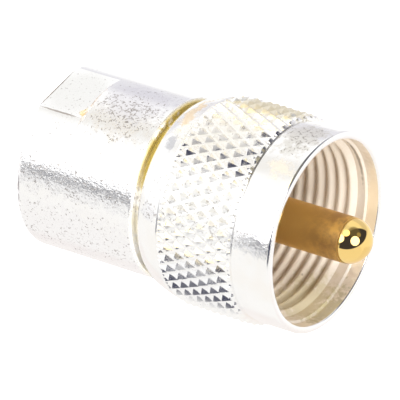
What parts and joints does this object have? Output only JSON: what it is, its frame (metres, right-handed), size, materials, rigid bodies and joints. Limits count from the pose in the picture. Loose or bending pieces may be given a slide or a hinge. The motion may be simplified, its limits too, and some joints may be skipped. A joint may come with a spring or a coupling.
{
  "type": "uhf connector",
  "caption": "Round coaxial cable plug with a knurled coupling nut, a round-nosed contact pin and a clamped cable entry.",
  "frame": {"origin": "centre of the rear face, which the plug stands on", "axes": "+Z along the plug's axis towards the contact pin, wrench flats facing -Y and +Y"},
  "size_m": [0.0186, 0.0186, 0.0306],
  "materials": {
    "silver_plate": "bright silver plate on brass, tarnished straw and brown in recesses",
    "gold_plate": "gold plate, polished at the nose and matt along the shaft",
    "clamp_metal": "dull nickel plate on brass",
    "spring_ring": "bare phosphor bronze",
    "insulator": "waxy white plastic",
    "gasket_rubber": "matt black rubber"
  },
  "bodies": {
    "plug": {"plug_body": "silver_plate", "contact_pin": "gold_plate", "front_insulator": "insulator", "rear_insulator": "insulator", "braid_clamp": "clamp_metal", "gasket": "gasket_rubber", "clamp_washer": "clamp_metal", "gland_nut": "clamp_metal"},
    "ring": {"retaining_ring": "spring_ring"},
    "nut": {"coupling_nut": "silver_plate"}
  },
  "joints": [
    {"name": "nut_slide", "type": "slide", "parent": "plug", "child": "ring", "axis": [0, 0, 1], "range_m": [0, 0.002]},
    {"name": "nut_turn", "type": "hinge", "parent": "ring", "child": "nut", "pos_m": [0, 0, 0.0139], "axis": [0, 0, 1], "continuous": true}
  ]
}
